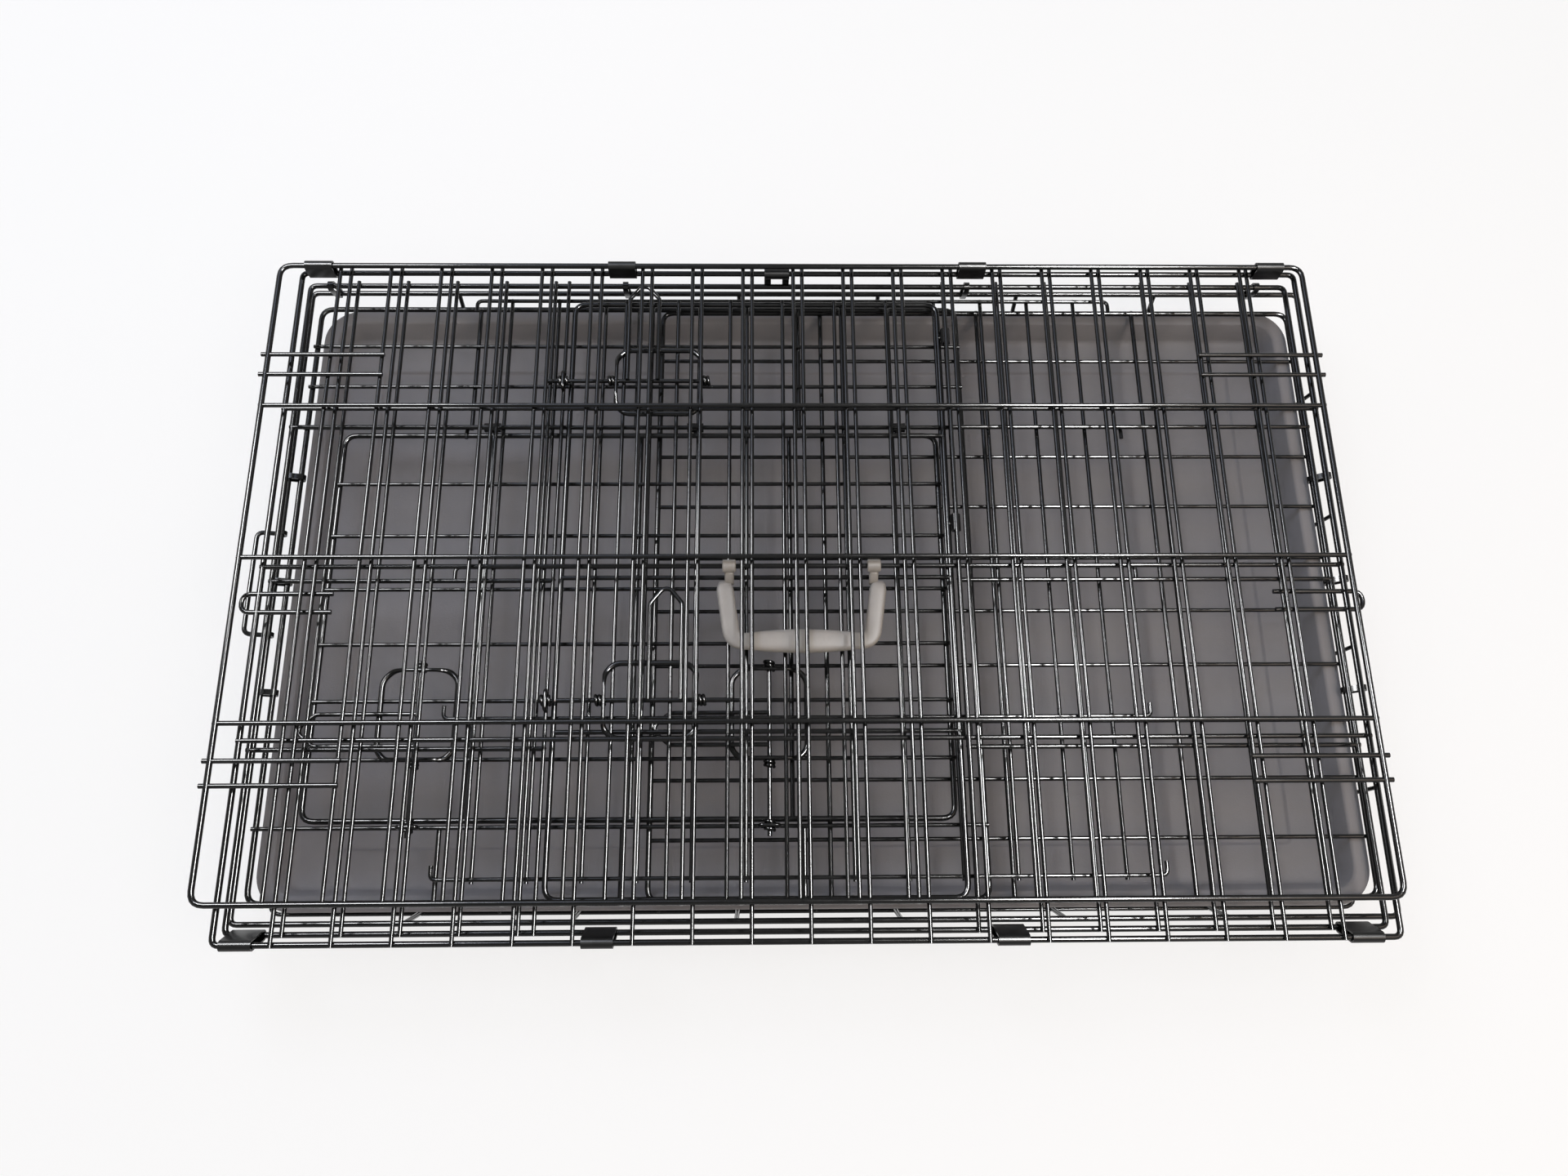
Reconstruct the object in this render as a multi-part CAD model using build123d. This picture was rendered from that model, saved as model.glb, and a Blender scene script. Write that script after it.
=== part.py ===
from build123d import *
from math import cos, hypot, pi, radians, sin
import os

# Folding wire dog crate, folded flat. Millimetres, +Z up, X along the crate, Y away from the viewer.
# All sizes of panels run between the centres of their frame wires.

# Wires: each is a hexagonal bar measured across its flats
frame_wire = 3.6
rail_wire = 3.0
fill_wire = 2.6
floor_wire = 3.0
bolt_wire = 2.8
latch_wire = 2.6
finger_wire = 2.4
hook_wire = 3.0
corner_radius = 9.0
long_panel_corner = 5.0

# Panels
base_length = 764.0
base_shift = 12.0
base_width = 470.5
base_height = 42.0
floor_inset = 9.0
riser_pitch_x = 108.0
riser_pitch_y = 100.0
end_height = 487.0
end_side_gap = 13.0
end_hinge_inset = 8.0
end_gap_count = 11
door_side_length = 742.0
door_side_height = 474.0
door_side_shift = 5.5
door_side_inset = 4.0
plain_side_length = 756.4
fill_gap_count = 20
plain_side_stagger = 6.7
edge_gap = 0.6
top_rail_shift = 8.0
layer_gap = 1.0

# Tray
tray_side_gap = 8.25
tray_end_gap = 8.0
tray_height = 23.6
tray_wall = 2.2
tray_rim = 9.0
tray_draft = 12.0
tray_corner = 26.0
tray_step = 9.0
seat_gap = 0.3

# Doors
door_height = 438.0
side_door_width = 273.0
side_door_middle = -28.5
side_door_rise = 2.0
end_door_margin = 186.5
end_door_top_gap = 20.0
end_door_shift = -27.0
door_gap = 5.0
door_gap_count = 7
end_door_gap_count = 7
hinge_eye_count = 3
hinge_eye_spacing = 150.0
hinge_eye_shift = 40.0
hinge_eye_wall = 1.6
hinge_eye_length = 12.0
pin_clearance = 0.35

# Slide bolts
bracket_length = 62.0
bracket_width = 52.0
bolt_reach = 72.0
bolt_tail = 46.0
bolt_clearance = 0.3
finger_length = 78.0
finger_width = 22.0
finger_crown = 10.5
finger_tip = 5.0
strike_width = 13.0
latch_spread = 240.0
side_latch_shift = 31.0
side_latch_inset = 65.0
end_latch_shift = -26.0
end_latch_inset = 71.0
upper_side_bolt_slide = -12.0
lower_side_bolt_slide = 9.5
end_bolt_slide = -11.0

# Carry handle
handle_width = 108.0
handle_reach = 60.0
grip_depth = 15.0
grip_thickness = 9.0
grip_end = 0.72
grip_sides = 10
handle_leg = 8.0
handle_lean = 6.0
handle_sleeve = 9.5
handle_sleeve_wall = 2.4
handle_shift = 2.5

# Sheet steel sleeves that join the panels
sleeve_length = 20.0
sleeve_sheet = 1.2
sleeve_end_inset = 27.0
sleeve_spread = 262.0
end_link_gap_count = 2
link_length = 4.0

# Closing clip, pan stop, divider, receivers
clip_width = 19.0
clip_drop = 22.0
clip_prong = 5.0
clip_thickness = 3.0
stop_length = 76.0
stop_reach = 16.0
stop_shift = -1.5
stop_rise = 3.0
divider_length = 428.0
divider_width = 435.0
divider_gap_count = 12
divider_hook = 26.0
divider_hook_turn = 9.0
divider_rise = 6.0
receiver_offset = 147.0
receiver_gap = 16.0
receiver_wire_count = 2
receiver_reach = 5.0
tab_width = 13.0
tab_reach = 11.0
tab_root = 50.0

# Heights of the stacked layers, each from the one below it
floor_top = 2 * floor_wire
tray_bottom = floor_top + seat_gap
tray_top = tray_bottom + tray_height
rear_z = tray_top + layer_gap + fill_wire + frame_wire / 2
front_z = rear_z + frame_wire + layer_gap
front_latch_z = front_z + frame_wire / 2 + fill_wire
staple_height = bolt_clearance * 2 + bolt_wire + latch_wire
divider_z = front_latch_z + staple_height + seat_gap + fill_wire / 2
door_side_z = divider_z + fill_wire * 1.5 + layer_gap + frame_wire / 2
side_latch_z = door_side_z + frame_wire / 2 + fill_wire
grip_z = side_latch_z + layer_gap + grip_thickness / 2
top_z = grip_z + grip_thickness / 2 + layer_gap + frame_wire / 2
plain_side_z = top_z + frame_wire + 2 * fill_wire + layer_gap

# Hinge lines and panel edges across the crate
door_side_far = base_width / 2 - door_side_inset
door_side_near = door_side_far - door_side_height
wire_radius = frame_wire / 3 ** 0.5
sleeve_radius = wire_radius + pin_clearance + sleeve_sheet
top_near = door_side_near - frame_wire / 2 - fill_wire - wire_radius - edge_gap
top_far = door_side_far
plain_side_far = top_far
top_offset = top_z - door_side_z
plain_side_near = top_near + top_offset + sleeve_radius + wire_radius + edge_gap
top_length = door_side_length
base_left = base_shift - base_length / 2
base_right = base_shift + base_length / 2
front_hinge = base_left + end_hinge_inset
rear_hinge = base_right - end_hinge_inset
end_half_width = base_width / 2 - end_side_gap


def hexagon(wire, turn=0.0):
    return RegularPolygon(wire / 2, 6, major_radius=False, rotation=turn)


def straight(start, end, wire):
    run = Vector(end) - Vector(start)
    side = Vector(0, 0, 1).cross(run.normalized())
    if side.length < 0.5:
        side = Vector(1, 0, 0)
    plane = Plane(origin=start, x_dir=side.normalized(), z_dir=run.normalized())
    return extrude(plane * hexagon(wire), run.length)


# Wire bent along points, turned so that its level runs have flats above and below
def bent(points, wire, normal=(0, 0, 1), close=False):
    path = Polyline(*points, close=close)
    run = (Vector(points[1]) - Vector(points[0])).normalized()
    plane = Plane(origin=points[0], x_dir=Vector(*normal).cross(run), z_dir=run)
    turn = 0.0 if normal[2] else 30.0
    return sweep(plane * hexagon(wire, turn), path=path, transition=Transition.RIGHT)


def arc_points(middle_u, middle_v, radius, start, turn, steps):
    angles = [radians(start + turn * step / steps) for step in range(steps + 1)]
    return [(middle_u + radius * cos(angle), middle_v + radius * sin(angle)) for angle in angles]


def rounded_loop(x_low, x_high, y_low, y_high, z, wire, radius=corner_radius):
    corners = [
        (x_high - radius, y_low + radius, -90),
        (x_high - radius, y_high - radius, 0),
        (x_low + radius, y_high - radius, 90),
        (x_low + radius, y_low + radius, 180),
    ]
    points = [((x_low + x_high) / 2, y_low)]
    for corner_x, corner_y, start in corners:
        points += arc_points(corner_x, corner_y, radius, start, 90, 2)
    return bent([(x, y, z) for x, y in points], wire, close=True)


def welded(wires):
    return wires[0].fuse(*wires[1:])


def spaced(low, high, gaps):
    return [low + (high - low) * step / gaps for step in range(1, gaps)]


def wires_along_x(places, x_low, x_high, z, wire):
    return [straight((x_low, y, z), (x_high, y, z), wire) for y in places]


def wires_along_y(places, y_low, y_high, z, wire):
    return [straight((x, y_low, z), (x, y_high, z), wire) for x in places]


# Slot with eight flats whose ends are centred on two wires
def flat_slot(reach, radius):
    corner = radius / cos(pi / 8)
    right = arc_points(reach / 2, 0, corner, -67.5, 135, 3)
    left = arc_points(-reach / 2, 0, corner, 112.5, 135, 3)
    return Polygon(*right, *left, align=None)


# Ring with eight flats inside and out
def flat_ring(bore, outer):
    return RegularPolygon(outer, 8, major_radius=False) - RegularPolygon(bore, 8, major_radius=False)


# Sleeve of sheet steel round two parallel wires that run along X, or along Y when turned
def sleeve(middle, first, second, across, length):
    reach = hypot(second[0] - first[0], second[1] - first[1])
    centre = Vector((first[0] + second[0]) / 2, (first[1] + second[1]) / 2)
    along = Vector(second[0] - first[0], second[1] - first[1]).normalized()
    if across == "x":
        plane = Plane(origin=(middle, centre.X, centre.Y), x_dir=(0, along.X, along.Y), z_dir=(1, 0, 0))
    else:
        plane = Plane(origin=(centre.X, middle, centre.Y), x_dir=(along.X, 0, along.Y), z_dir=(0, 1, 0))
    section = flat_slot(reach, sleeve_radius) - flat_slot(reach, sleeve_radius - sleeve_sheet)
    return extrude(plane * section, length / 2, both=True)


# Four sleeves along a hinge line, each in a gap between the bars of the two panels
def sleeve_row(first, second, length):
    end_gap = round((top_length / 2 - sleeve_end_inset) / fill_pitch - 0.5) + 0.5
    inner_gap = round(sleeve_spread / 2 / fill_pitch - 0.5) + 0.5
    middle = door_side_shift - plain_side_stagger / 2
    places = [middle + fill_pitch * gap for gap in (-end_gap, -inner_gap, inner_gap, end_gap)]
    return Compound([sleeve(place, first, second, "x", length) for place in places])


# Floor grid of wires, some turned up as risers that carry the raised border wire
def make_base():
    half_width = base_width / 2
    floor_left = base_left + floor_inset
    floor_right = base_right - floor_inset
    floor_y = half_width - floor_inset
    low = floor_wire / 2
    high = floor_wire * 1.5
    edges = (base_left, base_right, -half_width, half_width)
    wires = [rounded_loop(*edges, base_height, frame_wire, long_panel_corner)]
    wires += [rounded_loop(floor_left, floor_right, -floor_y, floor_y, low, floor_wire)]
    for x in [base_shift + riser_pitch_x * (step - 2.5) for step in range(6)]:
        points = [
            (x, -half_width, base_height),
            (x, -floor_y, high),
            (x, floor_y, high),
            (x, half_width, base_height),
        ]
        wires.append(bent(points, floor_wire, normal=(1, 0, 0)))
    plain_x = [base_shift + riser_pitch_x * (step - 3) for step in range(7)]
    wires += wires_along_y(plain_x, -floor_y, floor_y, high, floor_wire)
    for y in [riser_pitch_y * (step - 1.5) for step in range(4)]:
        points = [(floor_left, y, low), (floor_right, y, low), (base_right, y, base_height)]
        wires.append(bent(points, floor_wire, normal=(0, -1, 0)))
    return welded(wires)


# Moulded pan with sloping walls, a turned-out rim and a step round its floor
def make_tray():
    length = base_length - 2 * tray_end_gap
    width = base_width - 2 * tray_side_gap
    draft_in = tray_height * sin(radians(tray_draft))
    wall_length = length - 2 * tray_rim
    wall_width = width - 2 * tray_rim
    wall_corner = tray_corner - tray_rim
    inner_corner = wall_corner - tray_wall
    ledge_length = wall_length - 2 * (draft_in + tray_wall)
    ledge_width = wall_width - 2 * (draft_in + tray_wall)
    floor_plane = Plane(origin=(base_shift, 0, tray_bottom))
    inner_floor = Plane(origin=(base_shift, 0, tray_bottom + tray_wall))
    rim_plane = Plane(origin=(base_shift, 0, tray_top))
    outer = loft([
        floor_plane * RectangleRounded(wall_length - 2 * draft_in, wall_width - 2 * draft_in, wall_corner),
        rim_plane * RectangleRounded(wall_length, wall_width, wall_corner),
    ])
    rim = extrude(rim_plane * RectangleRounded(length, width, tray_corner), -tray_wall)
    inner = loft([
        inner_floor * RectangleRounded(ledge_length, ledge_width, inner_corner),
        rim_plane * RectangleRounded(wall_length - 2 * tray_wall, wall_width - 2 * tray_wall, inner_corner),
    ])
    ledge = extrude(inner_floor * (
        RectangleRounded(ledge_length, ledge_width, inner_corner)
        - RectangleRounded(ledge_length - 2 * tray_step, ledge_width - 2 * tray_step, inner_corner)
    ), tray_wall)
    return outer + rim - inner + ledge


# End panel at the right: plain, bars along X and rails across
def make_rear_end():
    x_low = rear_hinge - end_height
    fill_z = rear_z - frame_wire / 2 - fill_wire / 2
    rail_z = rear_z - frame_wire / 2 + rail_wire / 2
    half = frame_wire / 2
    wires = [rounded_loop(x_low, rear_hinge, -end_half_width, end_half_width, rear_z, frame_wire)]
    bars = spaced(-end_half_width, end_half_width, end_gap_count)
    wires += wires_along_x(bars, x_low - half, rear_hinge + half, fill_z, fill_wire)
    wires += wires_along_y(spaced(x_low, rear_hinge, 4), -end_half_width, end_half_width, rail_z, rail_wire)
    return welded(wires)


end_door_low = front_hinge + end_height - end_door_top_gap - door_height
end_door_high = end_door_low + door_height
end_door_width = base_width - end_door_margin
end_door_near = end_door_shift - end_door_width / 2
end_door_far = end_door_shift + end_door_width / 2
end_latch_places = [
    (end_door_low + end_door_high) / 2 + end_latch_shift + side * latch_spread / 2 for side in (-1, 1)
]
end_latch_y = end_door_near + end_latch_inset


# End panel at the left: a frame round the doorway, with bars each side of it
def make_front_end():
    x_low = front_hinge
    x_high = front_hinge + end_height
    half = frame_wire / 2
    fill_z = front_z + half + fill_wire / 2
    rail_z = front_z + half - rail_wire / 2
    jamb_near = end_door_near - door_gap
    jamb_far = end_door_far + door_gap
    wires = [rounded_loop(x_low, x_high, -end_half_width, end_half_width, front_z, frame_wire)]
    for low, high in ((-end_half_width, jamb_near), (jamb_far, end_half_width)):
        gaps = max(1, round((high - low) / (2 * end_half_width / end_gap_count)))
        places = spaced(low, high, gaps) + [jamb_near if high == jamb_near else jamb_far]
        wires += wires_along_x(places, x_low - half, x_high + half, fill_z, fill_wire)
        wires += wires_along_y(spaced(x_low, x_high, 4), low, high, rail_z, rail_wire)
    return welded(wires)


# Bridge of wire that stands on a panel wire and spans a bolt
def staple(x, y, z, width, bolt_along):
    half = width / 2
    crown = z + staple_height - latch_wire / 2
    if bolt_along == "x":
        points = [(x, y - half, z), (x, y - half, crown), (x, y + half, crown), (x, y + half, z)]
        return bent(points, latch_wire, normal=(1, 0, 0))
    points = [(x - half, y, z), (x - half, y, crown), (x + half, y, crown), (x + half, y, z)]
    return bent(points, latch_wire, normal=(0, 1, 0))


# Bracket that guides a bolt: two staples joined by two side wires that lie on the door's bars
def latch_bracket(x, y, z, bolt_along):
    reach = bracket_length / 2
    half = bracket_width / 2
    side_z = z + latch_wire / 2
    if bolt_along == "x":
        wires = [staple(x + end * reach, y, z, bracket_width, "x") for end in (-1, 1)]
        wires += wires_along_x([y - half, y + half], x - reach, x + reach, side_z, latch_wire)
    else:
        wires = [staple(x, y + end * reach, z, bracket_width, "y") for end in (-1, 1)]
        wires += wires_along_y([x - half, x + half], y - reach, y + reach, side_z, latch_wire)
    return welded(wires)


# Bolt with its pointed finger loop, made pointing along -X with the loop along +Y
def slide_bolt(x, y, z, turn):
    bolt_z = bolt_clearance + bolt_wire / 2
    loop_z = bolt_clearance + bolt_wire + finger_wire / 2
    half = finger_width / 2
    bolt = straight((-bolt_reach, 0, bolt_z), (bolt_tail, 0, bolt_z), bolt_wire)
    shoulder = finger_length - finger_crown
    loop = bent([
        (half, -bolt_wire / 2, loop_z),
        (half, shoulder, loop_z),
        (finger_tip / 2, finger_length, loop_z),
        (-finger_tip / 2, finger_length, loop_z),
        (-half, shoulder, loop_z),
        (-half, -bolt_wire / 2, loop_z),
    ], finger_wire)
    return Pos(x, y, z) * Rot(0, 0, turn) * welded([bolt, loop])


# Eyes bent round the jamb wire that a door hangs on, each with a tongue to the door's frame
def hinge_eyes(middle, line, z, frame_z, along):
    first = middle + hinge_eye_shift - hinge_eye_spacing * (hinge_eye_count - 1) / 2
    places = [first + hinge_eye_spacing * step for step in range(hinge_eye_count)]
    bore = fill_wire / 3 ** 0.5 + pin_clearance
    outer = bore + hinge_eye_wall
    root_z = frame_z + frame_wire / 2 - fill_wire / 4
    near_side = line - bore - hinge_eye_wall / 4
    eyes = []
    for place in places:
        if along == "y":
            plane = Plane(origin=(line, place, z), x_dir=(1, 0, 0), z_dir=(0, 1, 0))
            tongue = straight((line - door_gap, place, root_z), (near_side, place, root_z), latch_wire)
        else:
            plane = Plane(origin=(place, line, z), x_dir=(0, 1, 0), z_dir=(1, 0, 0))
            tongue = straight((place, line - door_gap, root_z), (place, near_side, root_z), latch_wire)
        ring = extrude(plane * flat_ring(bore, outer), hinge_eye_length / 2, both=True)
        core = extrude(plane * RegularPolygon(bore, 8, major_radius=False), hinge_eye_length, both=True)
        eyes.append(ring + (tongue - core))
    return eyes


def make_front_door():
    half = frame_wire / 2
    fill_z = front_z + half + fill_wire / 2
    rail_z = front_z + half - rail_wire / 2
    wires = [rounded_loop(end_door_low, end_door_high, end_door_near, end_door_far, front_z, frame_wire)]
    bars = spaced(end_door_near, end_door_far, end_door_gap_count)
    wires += wires_along_x(bars, end_door_low - half, end_door_high + half, fill_z, fill_wire)
    rails = spaced(end_door_low, end_door_high, 4)
    wires += wires_along_y(rails, end_door_near, end_door_far, rail_z, rail_wire)
    middle = (end_door_low + end_door_high) / 2
    wires += hinge_eyes(middle, end_door_far + door_gap, fill_z, front_z, "x")
    return welded(wires)


side_door_low = side_door_middle - side_door_width / 2
side_door_high = side_door_middle + side_door_width / 2
side_door_centre = (door_side_near + door_side_far) / 2 + side_door_rise
side_door_near = side_door_centre - door_height / 2
side_door_far = side_door_centre + door_height / 2
side_latch_places = [
    side_door_centre + side_latch_shift + side * latch_spread / 2 for side in (-1, 1)
]
side_latch_x = side_door_low + side_latch_inset
door_side_low = door_side_shift - door_side_length / 2
door_side_high = door_side_shift + door_side_length / 2
fill_pitch = top_length / fill_gap_count
plain_fill_places = [
    place - plain_side_stagger for place in spaced(door_side_low, door_side_high, fill_gap_count)
]


# Long panel with the side doorway: bars stop at the jambs
def make_door_side():
    half = frame_wire / 2
    fill_z = door_side_z + half + fill_wire / 2
    rail_z = door_side_z + half - rail_wire / 2
    jamb_low = side_door_low - door_gap
    jamb_high = side_door_high + door_gap
    edges = (door_side_low, door_side_high, door_side_near, door_side_far)
    wires = [rounded_loop(*edges, door_side_z, frame_wire, long_panel_corner)]
    clear = fill_wire * 2
    bars = [
        x for x in spaced(door_side_low, door_side_high, fill_gap_count)
        if not jamb_low - clear < x < jamb_high + clear
    ] + [jamb_low, jamb_high]
    wires += wires_along_y(bars, door_side_near - half, door_side_far + half, fill_z, fill_wire)
    rails = spaced(door_side_near, door_side_far, 4)
    wires += wires_along_x(rails, door_side_low, jamb_low, rail_z, rail_wire)
    wires += wires_along_x(rails, jamb_high, door_side_high, rail_z, rail_wire)
    return welded(wires)


def make_side_door():
    half = frame_wire / 2
    fill_z = door_side_z + half + fill_wire / 2
    rail_z = door_side_z + half - rail_wire / 2
    edges = (side_door_low, side_door_high, side_door_near, side_door_far)
    wires = [rounded_loop(*edges, door_side_z, frame_wire)]
    bars = spaced(side_door_low, side_door_high, door_gap_count)
    wires += wires_along_y(bars, side_door_near - half, side_door_far + half, fill_z, fill_wire)
    rails = spaced(side_door_near, side_door_far, 4)
    wires += wires_along_x(rails, side_door_low, side_door_high, rail_z, rail_wire)
    wires += hinge_eyes(side_door_centre, side_door_high + door_gap, fill_z, door_side_z, "y")
    return welded(wires)


# Roof panel, with a looped tab at the middle of each short end
def make_top():
    half = frame_wire / 2
    fill_z = top_z + half + fill_wire / 2
    rail_z = top_z + half - rail_wire / 2
    x_low = door_side_shift - top_length / 2
    x_high = door_side_shift + top_length / 2
    wires = [rounded_loop(x_low, x_high, top_near, top_far, top_z, frame_wire, long_panel_corner)]
    bars = spaced(x_low, x_high, fill_gap_count)
    wires += wires_along_y(bars, top_near - half, top_far + half, fill_z, fill_wire)
    rails = [place + top_rail_shift for place in spaced(top_near, top_far, 4)]
    wires += wires_along_x(rails, x_low, x_high, rail_z, rail_wire)
    tab_y = (top_near + top_far) / 2 + top_rail_shift - 2 * tab_width
    for end, edge in ((-1, x_low), (1, x_high)):
        root = edge - end * tab_root
        nose = edge + end * (tab_reach - tab_width / 2)
        arc = arc_points(0, 0, tab_width / 2, 90, -180, 4)
        points = [(root, tab_y + tab_width / 2, rail_z)]
        points += [(nose + end * u, tab_y + v, rail_z) for u, v in arc]
        points.append((root, tab_y - tab_width / 2, rail_z))
        wires.append(bent(points, rail_wire))
    return welded(wires)


# Long panel with no door. Its rails lie outside, and short wires near its corners take the end panels' hooks
def make_plain_side():
    half = frame_wire / 2
    fill_z = plain_side_z - half - fill_wire / 2
    rail_z = plain_side_z - half + rail_wire / 2
    x_low = -plain_side_length / 2
    x_high = plain_side_length / 2
    middle = (plain_side_near + plain_side_far) / 2
    wires = [rounded_loop(x_low, x_high, plain_side_near, plain_side_far, plain_side_z, frame_wire)]
    near = plain_side_near - half
    far = plain_side_far + half
    wires += wires_along_y(plain_fill_places, near, far, fill_z, fill_wire)
    wires += wires_along_x(spaced(plain_side_near, plain_side_far, 4), x_low, x_high, rail_z, rail_wire)
    for side in (-1, 1):
        pair = [middle + side * receiver_offset + step * receiver_gap / 2 for step in (-1, 1)]
        left_end = plain_fill_places[receiver_wire_count - 1] + fill_wire
        right_end = plain_fill_places[-receiver_wire_count] - fill_wire
        wires += wires_along_x(pair, x_low - receiver_reach, left_end, rail_z, rail_wire)
        wires += wires_along_x(pair, right_end, x_high + receiver_reach, rail_z, rail_wire)
    return welded(wires)


# Loose partition panel stored in the pack, resting on the front latches, with hooked rail ends
def make_divider():
    x_high = divider_length / 2
    near = divider_rise - divider_width / 2
    far = divider_rise + divider_width / 2
    rail_z = divider_z + fill_wire
    bars = [-x_high] + spaced(-x_high, x_high, divider_gap_count) + [x_high]
    wires = wires_along_y(bars, near, far, divider_z, fill_wire)
    for y in [near + fill_wire] + spaced(near, far, 4) + [far - fill_wire]:
        turn = divider_hook_turn if y < divider_rise else -divider_hook_turn
        points = [
            (-x_high - divider_hook, y + turn, rail_z),
            (-x_high - divider_hook, y, rail_z),
            (x_high + divider_hook, y, rail_z),
            (x_high + divider_hook, y + turn, rail_z),
        ]
        wires.append(bent(points, fill_wire))
    return welded(wires)


# Moulded handle: two eyes on the roof's middle rail, legs that drop and lean in, and a swelling grip
def make_handle():
    rail_y = (top_near + top_far) / 2 + top_rail_shift
    rail_z = top_z + frame_wire / 2 - rail_wire / 2
    bore = rail_wire / 3 ** 0.5 + pin_clearance
    drop_y = rail_y - bore - handle_sleeve_wall
    grip_y = rail_y - handle_reach + grip_depth / 2
    leg_x = handle_width / 2 - handle_leg / 2
    grip_x = leg_x - handle_lean
    sections = []
    for share, size in ((-1, grip_end), (-0.6, 1.0), (0.6, 1.0), (1, grip_end)):
        section_x = handle_shift + share * (grip_x + handle_leg / 2)
        plane = Plane(origin=(section_x, grip_y, grip_z), z_dir=(1, 0, 0), x_dir=(0, 1, 0))
        angles = [2 * pi * (step + 0.5) / grip_sides for step in range(grip_sides)]
        corners = [
            (grip_depth / 2 * size * cos(angle), grip_thickness / 2 * size * sin(angle)) for angle in angles
        ]
        sections.append(plane * Polygon(*corners, align=None))
    pieces = [loft(sections, ruled=True)]
    for side in (-1, 1):
        eye_x = handle_shift + side * leg_x
        eye_plane = Plane(origin=(eye_x, rail_y, rail_z), z_dir=(1, 0, 0), x_dir=(0, 1, 0))
        eye = flat_ring(bore, bore + handle_sleeve_wall)
        pieces.append(extrude(eye_plane * eye, handle_sleeve / 2, both=True))
        core = extrude(eye_plane * RegularPolygon(bore, 8, major_radius=False), handle_width / 2, both=True)
        post = straight((eye_x, drop_y, rail_z), (eye_x, drop_y, grip_z - handle_leg / 2), handle_leg)
        leg_end = (handle_shift + side * grip_x, grip_y, grip_z)
        leg = straight((eye_x, drop_y, grip_z), leg_end, handle_leg)
        pieces += [post - core, leg - core]
    return welded(pieces)


# Clip that hangs on the roof's far wire and holds the folded pack: a plate split into two prongs
def make_closing_clip():
    bore = frame_wire / 3 ** 0.5 + pin_clearance
    outer = bore + clip_thickness / 2
    middle = door_side_shift - fill_pitch / 2
    plane = Plane(origin=(middle, top_far, top_z), z_dir=(1, 0, 0), x_dir=(0, 1, 0))
    ring = extrude(plane * flat_ring(bore, outer), clip_width / 2, both=True)
    plate_y = top_far + bore + clip_thickness / 2
    plate_box = Box(clip_width, clip_thickness, clip_drop / 2)
    plate = Pos(middle, plate_y, top_z - clip_drop / 4) * plate_box
    pieces = [ring, plate]
    for side in (-1, 1):
        place = middle + side * (clip_width - clip_prong) / 2
        prong = Box(clip_prong, clip_thickness, clip_drop / 2)
        pieces.append(Pos(place, plate_y, top_z - clip_drop * 0.75) * prong)
    return welded(pieces)


# Wire stop on the left border wire, turned up and clear of the pan
def make_pan_stop():
    line = base_left
    bore = frame_wire / 3 ** 0.5 + pin_clearance
    half = stop_length / 2
    eye_outer = bore + hinge_eye_wall
    out_x = line - stop_reach
    out_z = base_height + stop_rise
    crossbar = bent([
        (line - bore - hinge_eye_wall / 2, stop_shift - half, base_height),
        (out_x, stop_shift - half, out_z),
        (out_x, stop_shift + half, out_z),
        (line - bore - hinge_eye_wall / 2, stop_shift + half, base_height),
    ], hook_wire, normal=(-stop_rise, 0, -stop_reach))
    eyes = []
    for side in (-1, 1):
        plane = Plane(origin=(line, stop_shift + side * half, base_height), x_dir=(1, 0, 0), z_dir=(0, 1, 0))
        eyes.append(extrude(plane * flat_ring(bore, eye_outer), hook_wire / 2, both=True))
    return welded([crossbar] + eyes)


end_pitch = 2 * end_half_width / end_gap_count
end_link_places = [end_pitch * end_link_gap_count * step for step in (-1, 0, 1)]
front_jamb = end_door_near - door_gap
side_jamb = side_door_low - door_gap

nodes = {
    "base_basket": make_base(),
    "floor_tray": make_tray(),
    "rear_end_panel": make_rear_end(),
    "front_end_panel": make_front_end(),
    "front_door": make_front_door(),
    "divider_panel": make_divider(),
    "door_side_panel": make_door_side(),
    "side_door": make_side_door(),
    "top_panel": make_top(),
    "plain_side_panel": make_plain_side(),
    "carry_handle": make_handle(),
    "closing_clip": make_closing_clip(),
    "pan_stop": make_pan_stop(),
}
for name, place in zip(("lower", "upper"), end_latch_places):
    nodes["front_bracket_" + name] = latch_bracket(place, end_latch_y, front_latch_z, "y")
    nodes["front_bolt_" + name] = slide_bolt(place, end_latch_y + end_bolt_slide, front_latch_z, 90)
side_slides = (lower_side_bolt_slide, upper_side_bolt_slide)
for name, place, slide in zip(("lower", "upper"), side_latch_places, side_slides):
    nodes["side_bracket_" + name] = latch_bracket(side_latch_x, place, side_latch_z, "x")
    nodes["side_bolt_" + name] = slide_bolt(side_latch_x + slide, place, side_latch_z, 0)
nodes["front_strikes"] = Compound([
    staple(place, front_jamb, front_latch_z, strike_width, "y") for place in end_latch_places
])
nodes["side_strikes"] = Compound([
    staple(side_jamb, place, side_latch_z, strike_width, "x") for place in side_latch_places
])
border = (base_width / 2, base_height)
nodes["door_side_links"] = sleeve_row(border, (door_side_far, door_side_z), link_length)
nodes["top_sleeves"] = sleeve_row((door_side_near, door_side_z), (top_near, top_z), sleeve_length)
nodes["plain_side_sleeves"] = sleeve_row((top_far, top_z), (plain_side_far, plain_side_z), sleeve_length)
for name, wall_x, hinge_x, z in (
    ("front", base_left, front_hinge, front_z),
    ("rear", base_right, rear_hinge, rear_z),
):
    wall = (wall_x, base_height)
    hinge = (hinge_x, z)
    nodes[name + "_links"] = Compound([sleeve(y, wall, hinge, "y", link_length) for y in end_link_places])

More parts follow.
